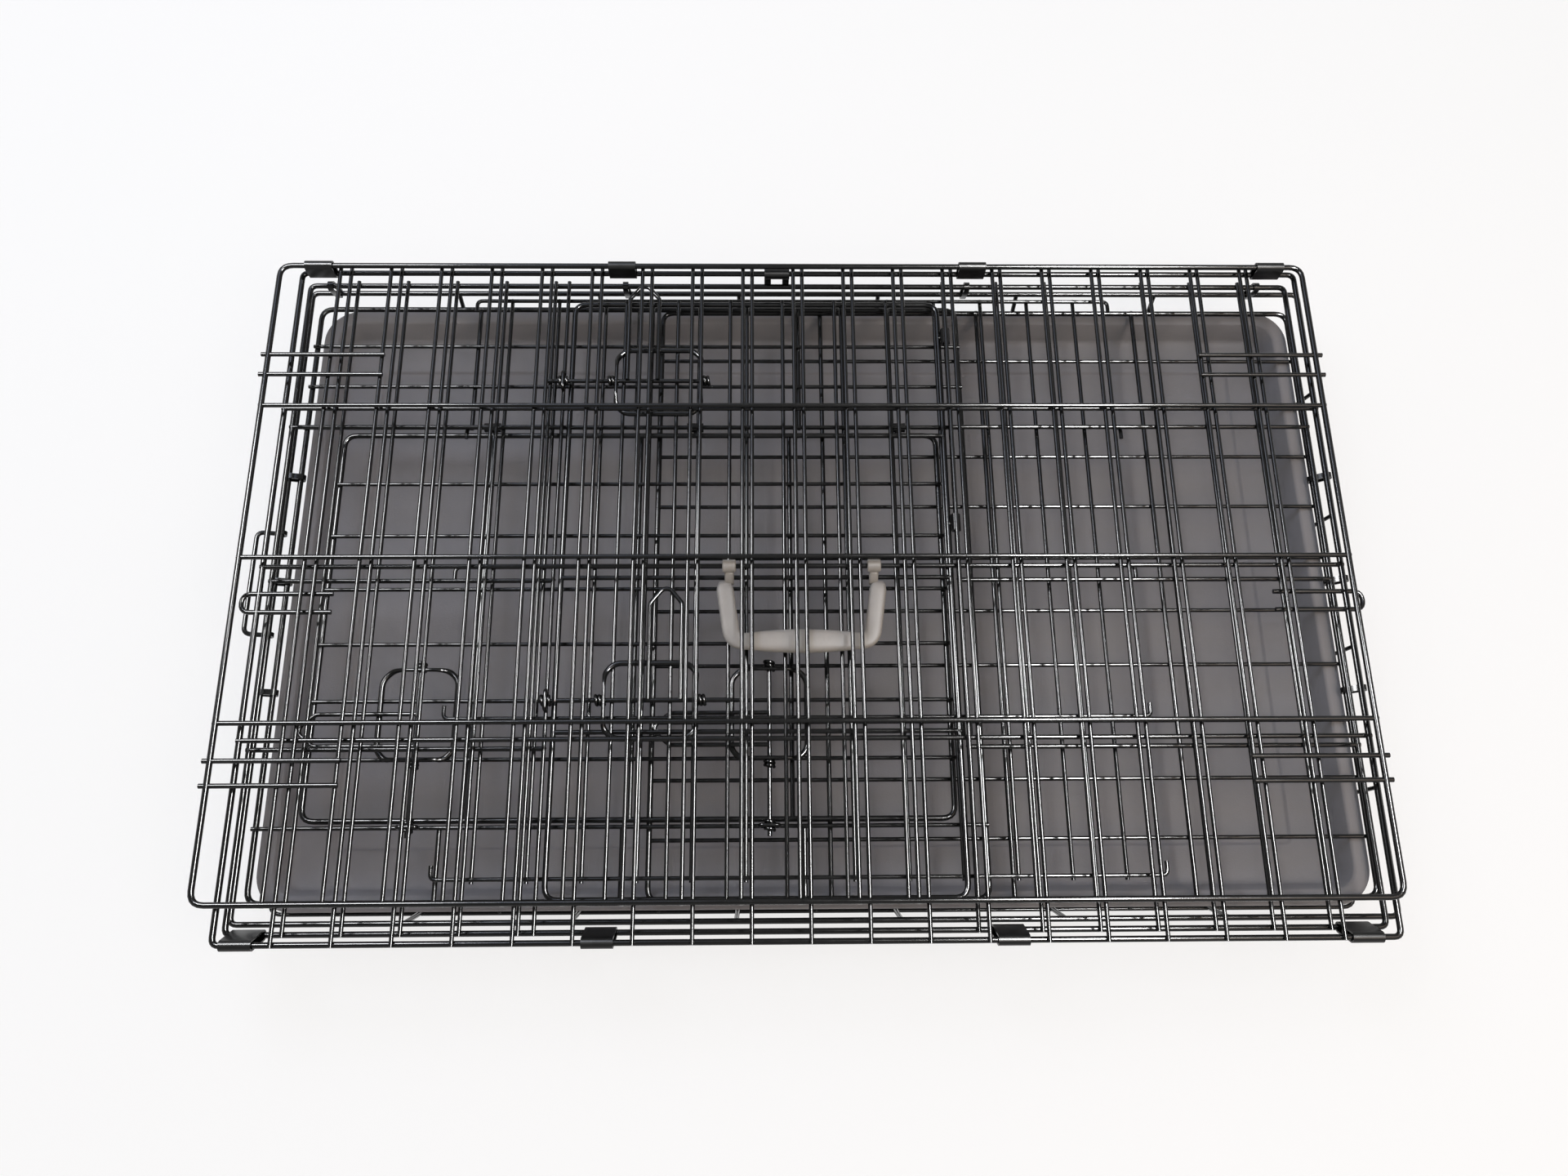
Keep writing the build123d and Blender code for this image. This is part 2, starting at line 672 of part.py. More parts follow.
# The origin is under the middle of the whole folded crate
boxes = [shape.bounding_box() for shape in nodes.values()]
far_reach = max(box.max.Y for box in boxes)
near_reach = min(box.min.Y for box in boxes)
right_reach = max(box.max.X for box in boxes)
left_reach = min(box.min.X for box in boxes)
origin_x = (right_reach + left_reach) / 2
origin_y = (far_reach + near_reach) / 2

os.makedirs("parts", exist_ok=True)
for name, shape in nodes.items():
    placed = [Pos(-origin_x, -origin_y, 0) * solid for solid in shape.solids()]
    export_step(placed[0] if len(placed) == 1 else Compound(placed), f"parts/{name}.step")
    print(name, len(shape.solids()), round(shape.volume, 1))
print("origin", round(origin_x, 3), round(origin_y, 3), "height", max(box.max.Z for box in boxes))
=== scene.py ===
import math

import bpy
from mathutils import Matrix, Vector


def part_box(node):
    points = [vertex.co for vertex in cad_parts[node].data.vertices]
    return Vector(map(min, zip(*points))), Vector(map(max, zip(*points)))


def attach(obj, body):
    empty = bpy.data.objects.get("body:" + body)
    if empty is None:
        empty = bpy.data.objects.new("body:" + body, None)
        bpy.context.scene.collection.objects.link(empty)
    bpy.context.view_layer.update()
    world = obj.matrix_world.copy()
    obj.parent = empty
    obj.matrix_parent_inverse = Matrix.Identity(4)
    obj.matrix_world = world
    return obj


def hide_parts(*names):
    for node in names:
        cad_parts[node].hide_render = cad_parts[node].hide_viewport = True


# Folding wire dog crate, folded flat: round wires, a moulded pan and a carry handle over the CAD frame.
# Sizes in the dictionaries are millimetres; the scene itself is in metres.

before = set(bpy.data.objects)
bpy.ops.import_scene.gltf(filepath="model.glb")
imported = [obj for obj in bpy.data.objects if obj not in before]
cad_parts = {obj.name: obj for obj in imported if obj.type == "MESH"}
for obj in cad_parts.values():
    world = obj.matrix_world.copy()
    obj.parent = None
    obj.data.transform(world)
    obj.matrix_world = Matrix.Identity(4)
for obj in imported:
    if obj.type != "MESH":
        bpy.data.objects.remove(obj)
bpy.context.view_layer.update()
print("frame loaded:", len(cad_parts), "nodes")

millimetre = 0.001
hexReach = 1 / math.sqrt(3)  # the solids' hexagonal wires reach this far, per unit across flats

# the solids' wires, across flats
wire = {"frame": 3.6, "rail": 3.0, "bar": 2.6, "floor": 3.0,
        "latch": 2.6, "bolt": 2.8, "finger": 2.4, "stop": 3.0}


def nodeBox(node):
    low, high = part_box(node)
    return [v / millimetre for v in low] + [v / millimetre for v in high]


def linearColour(hexText):
    channels = [int(hexText[i:i + 2], 16) / 255 for i in (1, 3, 5)]
    return [c / 12.92 if c <= 0.04045 else ((c + 0.055) / 1.055) ** 2.4 for c in channels] + [1.0]


def addNode(tree, kind, settings=None, links=None):
    node = tree.nodes.new(kind)
    for key, value in (settings or {}).items():
        if key in node.inputs:
            node.inputs[key].default_value = value
        else:
            setattr(node, key, value)
    for key, socket in (links or {}).items():
        tree.links.new(socket, node.inputs[key])
    return node


def newMaterial(name, sockets):
    material = bpy.data.materials.new(name)
    material.use_nodes = True
    tree = material.node_tree
    shader = tree.nodes["Principled BSDF"]
    for key, value in sockets.items():
        shader.inputs[key].default_value = value
    return material, tree, shader


mixColours, mixResult = (6, 7), 2  # a Mix node's sockets for two colours and what it makes of them

bakedCoat = {"rubPatch": 9, "smoother": 0.04, "rougher": 0.07, "specular": 0.24, "coatRoughness": 0.12}


# Baked black electrocoat on drawn steel wire: thin, smooth and fairly glossy,
# so each wire carries a fine highlight
def bakedBlackWire(name, colour, roughness, coat):
    s = bakedCoat
    material, tree, shader = newMaterial(name, {
        "Base Color": linearColour(colour), "IOR": 1.5, "Specular IOR Level": s["specular"],
        "Coat Weight": coat, "Coat Roughness": s["coatRoughness"],
    })
    where = addNode(tree, "ShaderNodeTexCoord").outputs["Object"]
    rub = addNode(tree, "ShaderNodeTexNoise", {"Scale": 1 / (s["rubPatch"] * millimetre), "Detail": 4.0},
                  {"Vector": where})
    rough = addNode(tree, "ShaderNodeMapRange",
                    {"To Min": roughness - s["smoother"], "To Max": roughness + s["rougher"]},
                    {"Value": rub.outputs[0]})
    tree.links.new(rough.outputs[0], shader.inputs["Roughness"])
    return material


panPlastic = {"colour": "#7f7d7f", "dustColour": "#8b898a", "dustPatch": 130, "dustFrom": 0.35,
              "dustTo": 0.75, "smoothest": 0.6, "roughest": 0.76, "specular": 0.08,
              "grain": 1.2, "grainDepth": 0.4}


# Polypropylene pan, injection moulded in a grained tool: grey, with a soft sheen
# and a little dust on the flat
def mouldedPan(s):
    material, tree, shader = newMaterial("mouldedPolypropylenePan",
                                         {"IOR": 1.49, "Specular IOR Level": s["specular"]})
    where = addNode(tree, "ShaderNodeTexCoord").outputs["Object"]
    dust = addNode(tree, "ShaderNodeTexNoise",
                   {"Scale": 1 / (s["dustPatch"] * millimetre), "Detail": 6.0, "Roughness": 0.62},
                   {"Vector": where})
    ramp = addNode(tree, "ShaderNodeMapRange", {"From Min": s["dustFrom"], "From Max": s["dustTo"]},
                   {"Value": dust.outputs[0]})
    colour = addNode(tree, "ShaderNodeMix", {"data_type": "RGBA"}, {"Factor": ramp.outputs[0]})
    for socket, value in zip(mixColours, (s["colour"], s["dustColour"])):
        colour.inputs[socket].default_value = linearColour(value)
    tree.links.new(colour.outputs[mixResult], shader.inputs["Base Color"])
    rough = addNode(tree, "ShaderNodeMapRange", {"To Min": s["smoothest"], "To Max": s["roughest"]},
                    {"Value": dust.outputs[0]})
    tree.links.new(rough.outputs[0], shader.inputs["Roughness"])
    # the tool's grain is about 0.4 mm; it is drawn at 1.2 mm so that it still shows
    grain = addNode(tree, "ShaderNodeTexVoronoi", {"Scale": 1 / (s["grain"] * millimetre)},
                    {"Vector": where})
    bump = addNode(tree, "ShaderNodeBump", {"Strength": 0.12, "Distance": s["grainDepth"] * millimetre},
                   {"Height": grain.outputs[0]})
    tree.links.new(bump.outputs[0], shader.inputs["Normal"])
    return material


handlePlastic = {"colour": "#8f8a84", "paleColour": "#a8a39c", "wearPatch": 14, "roughness": 0.48,
                 "specular": 0.12, "grain": 0.9, "grainDepth": 0.3}


# Moulded grey thermoplastic: satin, slightly paler where hands have polished it
def mouldedHandleGrey(s):
    material, tree, shader = newMaterial("mouldedGreyThermoplastic", {
        "Roughness": s["roughness"], "IOR": 1.5, "Specular IOR Level": s["specular"],
    })
    where = addNode(tree, "ShaderNodeTexCoord").outputs["Object"]
    wear = addNode(tree, "ShaderNodeTexNoise", {"Scale": 1 / (s["wearPatch"] * millimetre), "Detail": 5.0},
                   {"Vector": where})
    colour = addNode(tree, "ShaderNodeMix", {"data_type": "RGBA"}, {"Factor": wear.outputs[0]})
    for socket, value in zip(mixColours, (s["colour"], s["paleColour"])):
        colour.inputs[socket].default_value = linearColour(value)
    tree.links.new(colour.outputs[mixResult], shader.inputs["Base Color"])
    # a satin tool's grain is about 0.3 mm; it is drawn at 0.9 mm so that it still shows
    grain = addNode(tree, "ShaderNodeTexNoise", {"Scale": 1 / (s["grain"] * millimetre), "Detail": 2.0},
                    {"Vector": where})
    bump = addNode(tree, "ShaderNodeBump", {"Strength": 0.15, "Distance": s["grainDepth"] * millimetre},
                   {"Height": grain.outputs[0]})
    tree.links.new(bump.outputs[0], shader.inputs["Normal"])
    return material


finish = {
    "wire": bakedBlackWire("bakedBlackPanelWire", "#070707", 0.15, 0.15),
    "latch_wire": bakedBlackWire("bakedBlackLatchWire", "#040404", 0.16, 0.2),
    "sheet": bakedBlackWire("bakedBlackRolledSheet", "#0c0c0c", 0.3, 0.1),
    "tray": mouldedPan(panPlastic),
    "handle": mouldedHandleGrey(handlePlastic),
}
print("materials made:", len(finish))


# Meshes are gathered as points, faces and smooth flags, in millimetres
def newMesh():
    return {"points": [], "faces": [], "smooth": []}


def addFaces(mesh, points, faces, smooth=True):
    first = len(mesh["points"])
    mesh["points"] += [tuple(p) for p in points]
    mesh["faces"] += [[first + i for i in face] for face in faces]
    mesh["smooth"] += [smooth] * len(faces)


# corners turned less than leastTurn stay as they are, and a bend takes at most sideShare of either side
bendLimit = {"leastTurn": 0.02, "sideShare": 0.49}


# Rounds the corners of a run of points with arcs
def rounded(points, radius, closed=False, steps=5):
    spots = [Vector(p) for p in points]
    count = len(spots)
    out = []
    for i, spot in enumerate(spots):
        if not closed and i in (0, count - 1):
            out.append(spot)
            continue
        before = spots[i - 1] - spot
        after = spots[(i + 1) % count] - spot
        turn = math.pi - before.angle(after)
        if turn < bendLimit["leastTurn"]:
            out.append(spot)
            continue
        most = bendLimit["sideShare"]
        reach = min(radius * math.tan(turn / 2), before.length * most, after.length * most)
        start = spot + before.normalized() * reach
        end = spot + after.normalized() * reach
        for k in range(steps + 1):
            t = k / steps
            out.append(start * (1 - t) ** 2 + spot * 2 * t * (1 - t) + end * t ** 2)
    return out


# Wires look thicker than the solids' flats, so all but those that rest on the floor are drawn thicker
wireCoat = {"swell": 1.12, "clear": 4}


# Round wire along points, with flat cut ends when it isn't closed;
# share gives how much of its thickness a spot has
def addWire(mesh, points, diameter, bend=0.0, closed=False, sides=10, share=None):
    spots = rounded(points, bend, closed) if bend else [Vector(p) for p in points]
    count = len(spots)
    swell = wireCoat["swell"] if min(spot.z for spot in spots) > wireCoat["clear"] else 1
    radius = diameter / 2 * swell
    heads = []
    for i in range(count):
        before = spots[i - 1] if closed or i else spots[0]
        after = spots[(i + 1) % count] if closed or i < count - 1 else spots[-1]
        heads.append((after - before).normalized())
    side = heads[0].orthogonal().normalized()
    rings = []
    for i, spot in enumerate(spots):
        side = (side - heads[i] * side.dot(heads[i])).normalized()
        up = heads[i].cross(side)
        reach = radius * share(spot) if share else radius
        angles = [2 * math.pi * k / sides for k in range(sides)]
        rings.append([spot + (side * math.cos(t) + up * math.sin(t)) * reach for t in angles])
    points = [p for ring in rings for p in ring]
    last = count if closed else count - 1
    # a closed run may come round turned, so its last ring is matched to the first by nearest point
    shift = 0
    if closed:
        shift = min(range(sides), key=lambda k: (rings[0][k] - rings[-1][0]).length)
    faces = []
    for i in range(last):
        j = (i + 1) % count
        s = shift if closed and i == count - 1 else 0
        for k in range(sides):
            n = (k + 1) % sides
            faces.append((i * sides + k, i * sides + n,
                          j * sides + (n + s) % sides, j * sides + (k + s) % sides))
    addFaces(mesh, points, faces)
    if not closed:
        addFaces(mesh, rings[0], [list(range(sides))[::-1]], False)
        addFaces(mesh, rings[-1], [list(range(sides))], False)


# Hollow piece: each ring of points is joined to the next, and the last to the first;
# smooth has a flag for each band
def addShell(mesh, rings, smooth):
    count = len(rings[0])
    faces = [(k, (k + 1) % count, count + (k + 1) % count, count + k) for k in range(count)]
    for i, ring in enumerate(rings):
        addFaces(mesh, ring + rings[(i + 1) % len(rings)], faces, smooth[i])


# Eye round a wire: profile is pairs of radius and place along it,
# and spot turns along, across and up into a point
def addEye(mesh, profile, sides, spot, smooth):
    angles = [2 * math.pi * k / sides for k in range(sides)]
    rings = [[spot(along, r * math.cos(t), r * math.sin(t)) for t in angles] for r, along in profile]
    addShell(mesh, rings, smooth)


def tubeProfile(outer, bore, reach):
    return [(outer, -reach), (outer, reach), (bore, reach), (bore, -reach)]


tubeSmooth = [True, False, True, False]  # round outside and inside, flat at both ends


# Skin over rings of points, closed at both ends
def addSkin(mesh, rings):
    count = len(rings[0])
    faces = []
    for i in range(len(rings) - 1):
        a, b = i * count, (i + 1) * count
        for k in range(count):
            n = (k + 1) % count
            faces.append((a + k, a + n, b + n, b + k))
    last = (len(rings) - 1) * count
    faces += [list(range(count))[::-1], list(range(last, last + count))]
    addFaces(mesh, [p for ring in rings for p in ring], faces)


weld = {"across": 1.7, "height": 0.55, "sides": 6}


# Small beads where wires are welded
def addWelds(mesh, xPlaces, yPlaces, z):
    reach, high, sides = weld["across"], weld["height"], weld["sides"]
    angles = [2 * math.pi * k / sides for k in range(sides)]
    faces = [(0, 2 + (k + 1) % sides, 2 + k) for k in range(sides)]
    faces += [(1, 2 + k, 2 + (k + 1) % sides) for k in range(sides)]
    for x in xPlaces:
        for y in yPlaces:
            points = [(x, y, z - high), (x, y, z + high)]
            points += [(x + reach * math.cos(t), y + reach * math.sin(t), z) for t in angles]
            addFaces(mesh, points, faces)


def placeMesh(mesh, name, finishName, body, nodes):
    data = bpy.data.meshes.new(name)
    data.from_pydata([[c * millimetre for c in p] for p in mesh["points"]], [], mesh["faces"])
    data.polygons.foreach_set("use_smooth", mesh["smooth"])
    data.materials.append(finish[finishName])
    data.validate()
    data.update()
    piece = bpy.data.objects.new(name, data)
    bpy.context.scene.collection.objects.link(piece)
    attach(piece, body)
    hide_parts(*nodes)


def evenly(low, high, gaps):
    return [low + (high - low) * i / gaps for i in range(1, gaps)]


def loopPoints(x0, x1, y0, y1, z):
    return [(x0, y0, z), (x1, y0, z), (x1, y1, z), (x0, y1, z)]


def addFrame(mesh, x0, x1, y0, y1, z, corner):
    addWire(mesh, loopPoints(x0, x1, y0, y1, z), wire["frame"], corner, True)


def addBarsAlongY(mesh, places, y0, y1, z, diameter):
    for x in places:
        addWire(mesh, [(x, y0, z), (x, y1, z)], diameter)


def addBarsAlongX(mesh, places, x0, x1, z, diameter):
    for y in places:
        addWire(mesh, [(x0, y, z), (x1, y, z)], diameter)


frameReach = wire["frame"] * hexReach
half = wire["frame"] / 2


# A node's box, drawn in to the middle of its frame wire
def frameLines(node):
    x0, y0, z0, x1, y1, z1 = nodeBox(node)
    return x0 + frameReach, y0 + frameReach, z0, x1 - frameReach, y1 - frameReach, z1


def spaced(middle, pitch, count):
    return [middle + pitch * (i - (count - 1) / 2) for i in range(count)]


# Plain side, uppermost: rails on the outside, short pairs near the corners for the end panels' hooks
plainSide = {"corner": 9, "firstBar": 48.1, "pitch": 37.1, "bars": 19, "railGaps": 4,
             "pairOffset": 147, "pairGap": 16, "pairBars": 2, "pairReach": 5}


def makePlainSide(s):
    x0, y0, z0, x1, y1, z1 = nodeBox("plain_side_panel")
    bars = [x0 + s["firstBar"] + s["pitch"] * i for i in range(s["bars"])]
    x0, x1, y0, y1 = x0 + s["pairReach"], x1 - s["pairReach"], y0 + frameReach, y1 - frameReach
    frameZ, barZ = z1 - half, z0 + wire["bar"] / 2
    railZ = frameZ - half + wire["rail"] / 2
    rails = evenly(y0, y1, s["railGaps"])
    mesh = newMesh()
    addFrame(mesh, x0, x1, y0, y1, frameZ, s["corner"])
    addBarsAlongY(mesh, bars, y0 - half, y1 + half, barZ, wire["bar"])
    addBarsAlongX(mesh, rails, x0 - half, x1 + half, railZ, wire["rail"])
    pairs = []
    for side in (-1, 1):
        for step in (-1, 1):
            pairs.append((y0 + y1) / 2 + side * s["pairOffset"] + step * s["pairGap"] / 2)
    leftEnd, rightEnd = bars[s["pairBars"] - 1] + wire["bar"], bars[-s["pairBars"]] - wire["bar"]
    addBarsAlongX(mesh, pairs, x0 - s["pairReach"], leftEnd, railZ, wire["rail"])
    addBarsAlongX(mesh, pairs, rightEnd, x1 + s["pairReach"], railZ, wire["rail"])
    addWelds(mesh, bars, [y0] + rails + [y1], frameZ - half)
    placeMesh(mesh, "plainSideWires", "wire", "plain_side", ["plain_side_panel"])


makePlainSide(plainSide)

# Roof panel under it, with a looped tab at each end
roof = {"corner": 5, "gaps": 20, "railGaps": 4, "railShift": 8,
        "tabReach": 11, "tabWidth": 13, "tabRoot": 50, "tabSlack": 0.14}


def makeRoof(s):
    x0, y0, z0, x1, y1, z1 = nodeBox("top_panel")
    tab = s["tabReach"] + wire["rail"] * hexReach + s["tabSlack"]
    x0, x1, y0, y1 = x0 + tab, x1 - tab, y0 + frameReach, y1 - frameReach
    frameZ, barZ = z0 + half, z1 - wire["bar"] / 2
    railZ = frameZ + half - wire["rail"] / 2
    bars = evenly(x0, x1, s["gaps"])
    rails = [y + s["railShift"] for y in evenly(y0, y1, s["railGaps"])]
    mesh = newMesh()
    addFrame(mesh, x0, x1, y0, y1, frameZ, s["corner"])
    addBarsAlongY(mesh, bars, y0 - half, y1 + half, barZ, wire["bar"])
    addBarsAlongX(mesh, rails, x0 - half, x1 + half, railZ, wire["rail"])
    tabY = (y0 + y1) / 2 + s["railShift"] - 2 * s["tabWidth"]
    for end, edge in ((-1, x0), (1, x1)):
        root, nose = edge - end * s["tabRoot"], edge + end * s["tabReach"]
        low, high = tabY - s["tabWidth"] / 2, tabY + s["tabWidth"] / 2
        points = [(root, high, railZ), (nose, high, railZ), (nose, low, railZ), (root, low, railZ)]
        addWire(mesh, points, wire["rail"], s["tabWidth"] / 2)
    addWelds(mesh, bars, [y0] + rails + [y1], frameZ + half)
    placeMesh(mesh, "roofWires", "wire", "roof", ["top_panel"])


makeRoof(roof)

# Strikes for the slide bolts: a staple on the jamb with a coil at its middle
staple = {"width": 13, "height": 6.0, "bend": 3.2, "clear": 0.3}
coil = {"wire": 2.4, "gap": 0.4, "turns": 2.5, "steps": 16, "pitch": 1.02, "sides": 8}


def addStaple(mesh, x, y, z, alongX):
    reach, crown = staple["width"] / 2, z + staple["height"] - wire["latch"] / 2
    if alongX:
        points = [(x, y - reach, z), (x, y - reach, crown), (x, y + reach, crown), (x, y + reach, z)]
    else:
        points = [(x - reach, y, z), (x - reach, y, crown), (x + reach, y, crown), (x + reach, y, z)]
    addWire(mesh, points, wire["latch"], staple["bend"])


# Coil of wire that a bolt runs through, with its middle at centre
def addCoil(mesh, centre, seatZ, alongX):
    s = coil
    axisZ = seatZ + staple["clear"] + wire["bolt"] / 2
    radius = wire["bolt"] / 2 + s["gap"] + s["wire"] / 2
    steps = round(s["turns"] * s["steps"])
    points = []
    for i in range(steps + 1):
        t = 2 * math.pi * i / s["steps"]
        along = (i / steps - 0.5) * s["turns"] * s["wire"] * s["pitch"]
        u, w = radius * math.cos(t), radius * math.sin(t)
        x, y = (centre[0] + along, centre[1] + u) if alongX else (centre[0] + u, centre[1] + along)
        points.append((x, y, axisZ + w))
    addWire(mesh, points, s["wire"], sides=s["sides"])


def makeStrikes(name, body, node, brackets, jamb, alongX):
    mesh = newMesh()
    for level in ("lower", "upper"):
        x0, y0, z0, x1, y1, z1 = nodeBox(brackets + level)
        x, y = (jamb, (y0 + y1) / 2) if alongX else ((x0 + x1) / 2, jamb)
        addStaple(mesh, x, y, z0, alongX)
        addCoil(mesh, (x, y), z0, alongX)
    placeMesh(mesh, name, "latch_wire", body, [node])


# Door side panel and its door
doorSide = {"corner": 5, "doorGap": 5, "gaps": 20, "railGaps": 4, "doorBars": 7, "doorCorner": 9,
            "eyes": 3, "eyeWall": 1.6, "eyeLength": 12, "eyeSpacing": 150, "eyeShift": 40, "eyeSides": 20,
            "pinGap": 0.35}


def eyeReach(s):
    return wire["bar"] * hexReach + s["pinGap"] + s["eyeWall"]


flatReach = 1 / math.cos(math.pi / 8)  # the solids' eight-sided eyes reach this much past their flats


# Eyes of rolled strip round the wire that a door hangs on
def addEyes(mesh, s, middle, line, z, frameZ, alongY):
    first = middle + s["eyeShift"] - s["eyeSpacing"] * (s["eyes"] - 1) / 2
    outer = eyeReach(s)
    inner = outer - s["eyeWall"]
    profile = tubeProfile(outer, inner, s["eyeLength"] / 2)
    for i in range(s["eyes"]):
        place = first + s["eyeSpacing"] * i

        def spot(along, across, up):
            if alongY:
                return (line + across, place + along, z + up)
            return (place + along, line + across, z + up)

        addEye(mesh, profile, s["eyeSides"], spot, [True] * 4)
        rootZ = frameZ + half - wire["bar"] / 4
        start, end = line - s["doorGap"], line - inner - s["eyeWall"] / 4
        tongue = [(u, place, rootZ) if alongY else (place, u, rootZ) for u in (start, end)]
        addWire(mesh, tongue, wire["latch"])


def makeDoorSide(s):
    doorLow, doorNear, _, _, doorFar, _ = frameLines("side_door")
    doorHigh = nodeBox("side_door")[3] - s["doorGap"] - eyeReach(s) * flatReach
    x0, y0, z0, x1, y1, z1 = frameLines("door_side_panel")
    frameZ = z0 + half
    barZ, railZ = frameZ + half + wire["bar"] / 2, frameZ + half - wire["rail"] / 2
    jambLow, jambHigh = doorLow - s["doorGap"], doorHigh + s["doorGap"]
    clear = 2 * wire["bar"]
    left = [x for x in evenly(x0, x1, s["gaps"]) if x <= jambLow - clear] + [jambLow]
    right = [jambHigh] + [x for x in evenly(x0, x1, s["gaps"]) if x >= jambHigh + clear]
    rails = evenly(y0, y1, s["railGaps"])
    panel = newMesh()
    addFrame(panel, x0, x1, y0, y1, frameZ, s["corner"])
    addBarsAlongY(panel, left + right, y0 - half, y1 + half, barZ, wire["bar"])
    addBarsAlongX(panel, rails, x0 - half, jambLow, railZ, wire["rail"])
    addBarsAlongX(panel, rails, jambHigh, x1 + half, railZ, wire["rail"])
    addWelds(panel, left + right, [y0] + rails + [y1], frameZ + half)
    makeStrikes("sideStrikeWires", "door_side", "side_strikes", "side_bracket_", jambLow, True)
    placeMesh(panel, "doorSideWires", "wire", "door_side", ["door_side_panel"])
    door = newMesh()
    bars = evenly(doorLow, doorHigh, s["doorBars"])
    doorRails = evenly(doorNear, doorFar, s["railGaps"])
    addFrame(door, doorLow, doorHigh, doorNear, doorFar, frameZ, s["doorCorner"])
    addBarsAlongY(door, bars, doorNear - half, doorFar + half, barZ, wire["bar"])
    addBarsAlongX(door, doorRails, doorLow, doorHigh, railZ, wire["rail"])
    addWelds(door, bars, [doorNear] + doorRails + [doorFar], frameZ + half)
    addEyes(door, s, (doorNear + doorFar) / 2, jambHigh, barZ, frameZ, True)
    placeMesh(door, "sideDoorWires", "wire", "door_side", ["side_door"])


makeDoorSide(doorSide)

# End panels: the front one with its door, and the plain rear one
endPanel = dict(doorSide, corner=9, gaps=11)


def makeFrontEnd(s):
    doorLow, doorNear, _, doorHigh, _, _ = frameLines("front_door")
    doorFar = nodeBox("front_door")[4] - s["doorGap"] - eyeReach(s) * flatReach
    x0, y0, z0, x1, y1, z1 = frameLines("front_end_panel")
    frameZ = z0 + half
    barZ, railZ = frameZ + half + wire["bar"] / 2, frameZ + half - wire["rail"] / 2
    jambNear, jambFar = doorNear - s["doorGap"], doorFar + s["doorGap"]
    rails = evenly(x0, x1, s["railGaps"])
    panel = newMesh()
    addFrame(panel, x0, x1, y0, y1, frameZ, s["corner"])
    for low, high, jamb in ((y0, jambNear, jambNear), (jambFar, y1, jambFar)):
        gaps = max(1, round((high - low) / ((y1 - y0) / s["gaps"])))
        bars = evenly(low, high, gaps) + [jamb]
        addBarsAlongX(panel, bars, x0 - half, x1 + half, barZ, wire["bar"])
        addBarsAlongY(panel, rails, low, high, railZ, wire["rail"])
        addWelds(panel, [x0] + rails + [x1], bars, frameZ + half)
    makeStrikes("frontStrikeWires", "base", "front_strikes", "front_bracket_", jambNear, False)
    placeMesh(panel, "frontEndWires", "wire", "base", ["front_end_panel"])
    door = newMesh()
    bars = evenly(doorNear, doorFar, s["doorBars"])
    doorRails = evenly(doorLow, doorHigh, s["railGaps"])
    addFrame(door, doorLow, doorHigh, doorNear, doorFar, frameZ, s["doorCorner"])
    addBarsAlongX(door, bars, doorLow - half, doorHigh + half, barZ, wire["bar"])
    addBarsAlongY(door, doorRails, doorNear, doorFar, railZ, wire["rail"])
    addWelds(door, [doorLow] + doorRails + [doorHigh], bars, frameZ + half)
    addEyes(door, s, (doorLow + doorHigh) / 2, jambFar, barZ, frameZ, False)
    placeMesh(door, "frontDoorWires", "wire", "base", ["front_door"])


def makeRearEnd(s):
    x0, y0, z0, x1, y1, z1 = frameLines("rear_end_panel")
    frameZ, barZ = z1 - half, z0 + wire["bar"] / 2
    railZ = frameZ - half + wire["rail"] / 2
    bars, rails = evenly(y0, y1, s["gaps"]), evenly(x0, x1, s["railGaps"])
    mesh = newMesh()
    addFrame(mesh, x0, x1, y0, y1, frameZ, s["corner"])
    addBarsAlongX(mesh, bars, x0 - half, x1 + half, barZ, wire["bar"])
    addBarsAlongY(mesh, rails, y0 - half, y1 + half, railZ, wire["rail"])
    addWelds(mesh, [x0] + rails + [x1], bars, frameZ - half)
    placeMesh(mesh, "rearEndWires", "wire", "base", ["rear_end_panel"])


makeFrontEnd(endPanel)
makeRearEnd(endPanel)

# Loose partition stored in the pack
partition = {"gaps": 12, "hook": 26, "hookTurn": 9, "bend": 4, "railGaps": 4}


def makePartition(s):
    x0, y0, z0, x1, y1, z1 = nodeBox("divider_panel")
    railZ, barZ = z1 - wire["bar"] / 2, z0 + wire["bar"] / 2
    tip = wire["bar"] * hexReach
    left, right, middle = x0 + tip, x1 - tip, (y0 + y1) / 2
    width = right - left - 2 * s["hook"]
    bars = [left + s["hook"] + width * i / s["gaps"] for i in range(s["gaps"] + 1)]
    rails = [y0 + wire["bar"]] + evenly(y0, y1, s["railGaps"]) + [y1 - wire["bar"]]
    mesh = newMesh()
    addBarsAlongY(mesh, bars, y0, y1, barZ, wire["bar"])
    for y in rails:
        turn = s["hookTurn"] if y < middle - 1 else -s["hookTurn"]
        points = [(left, y + turn, railZ), (left, y, railZ), (right, y, railZ), (right, y + turn, railZ)]
        addWire(mesh, points, wire["bar"], s["bend"])
    addWelds(mesh, bars, rails, railZ - wire["bar"] / 2)
    placeMesh(mesh, "partitionWires", "wire", "base", ["divider_panel"])


makePartition(partition)

# Base basket: floor grid turned up at its edges to a border wire
basket = {"corner": 5, "floorCorner": 9, "inset": 9, "bend": 5, "pitchX": 108, "pitchY": 100,
          "risers": 6, "plainBars": 7, "longBars": 4}


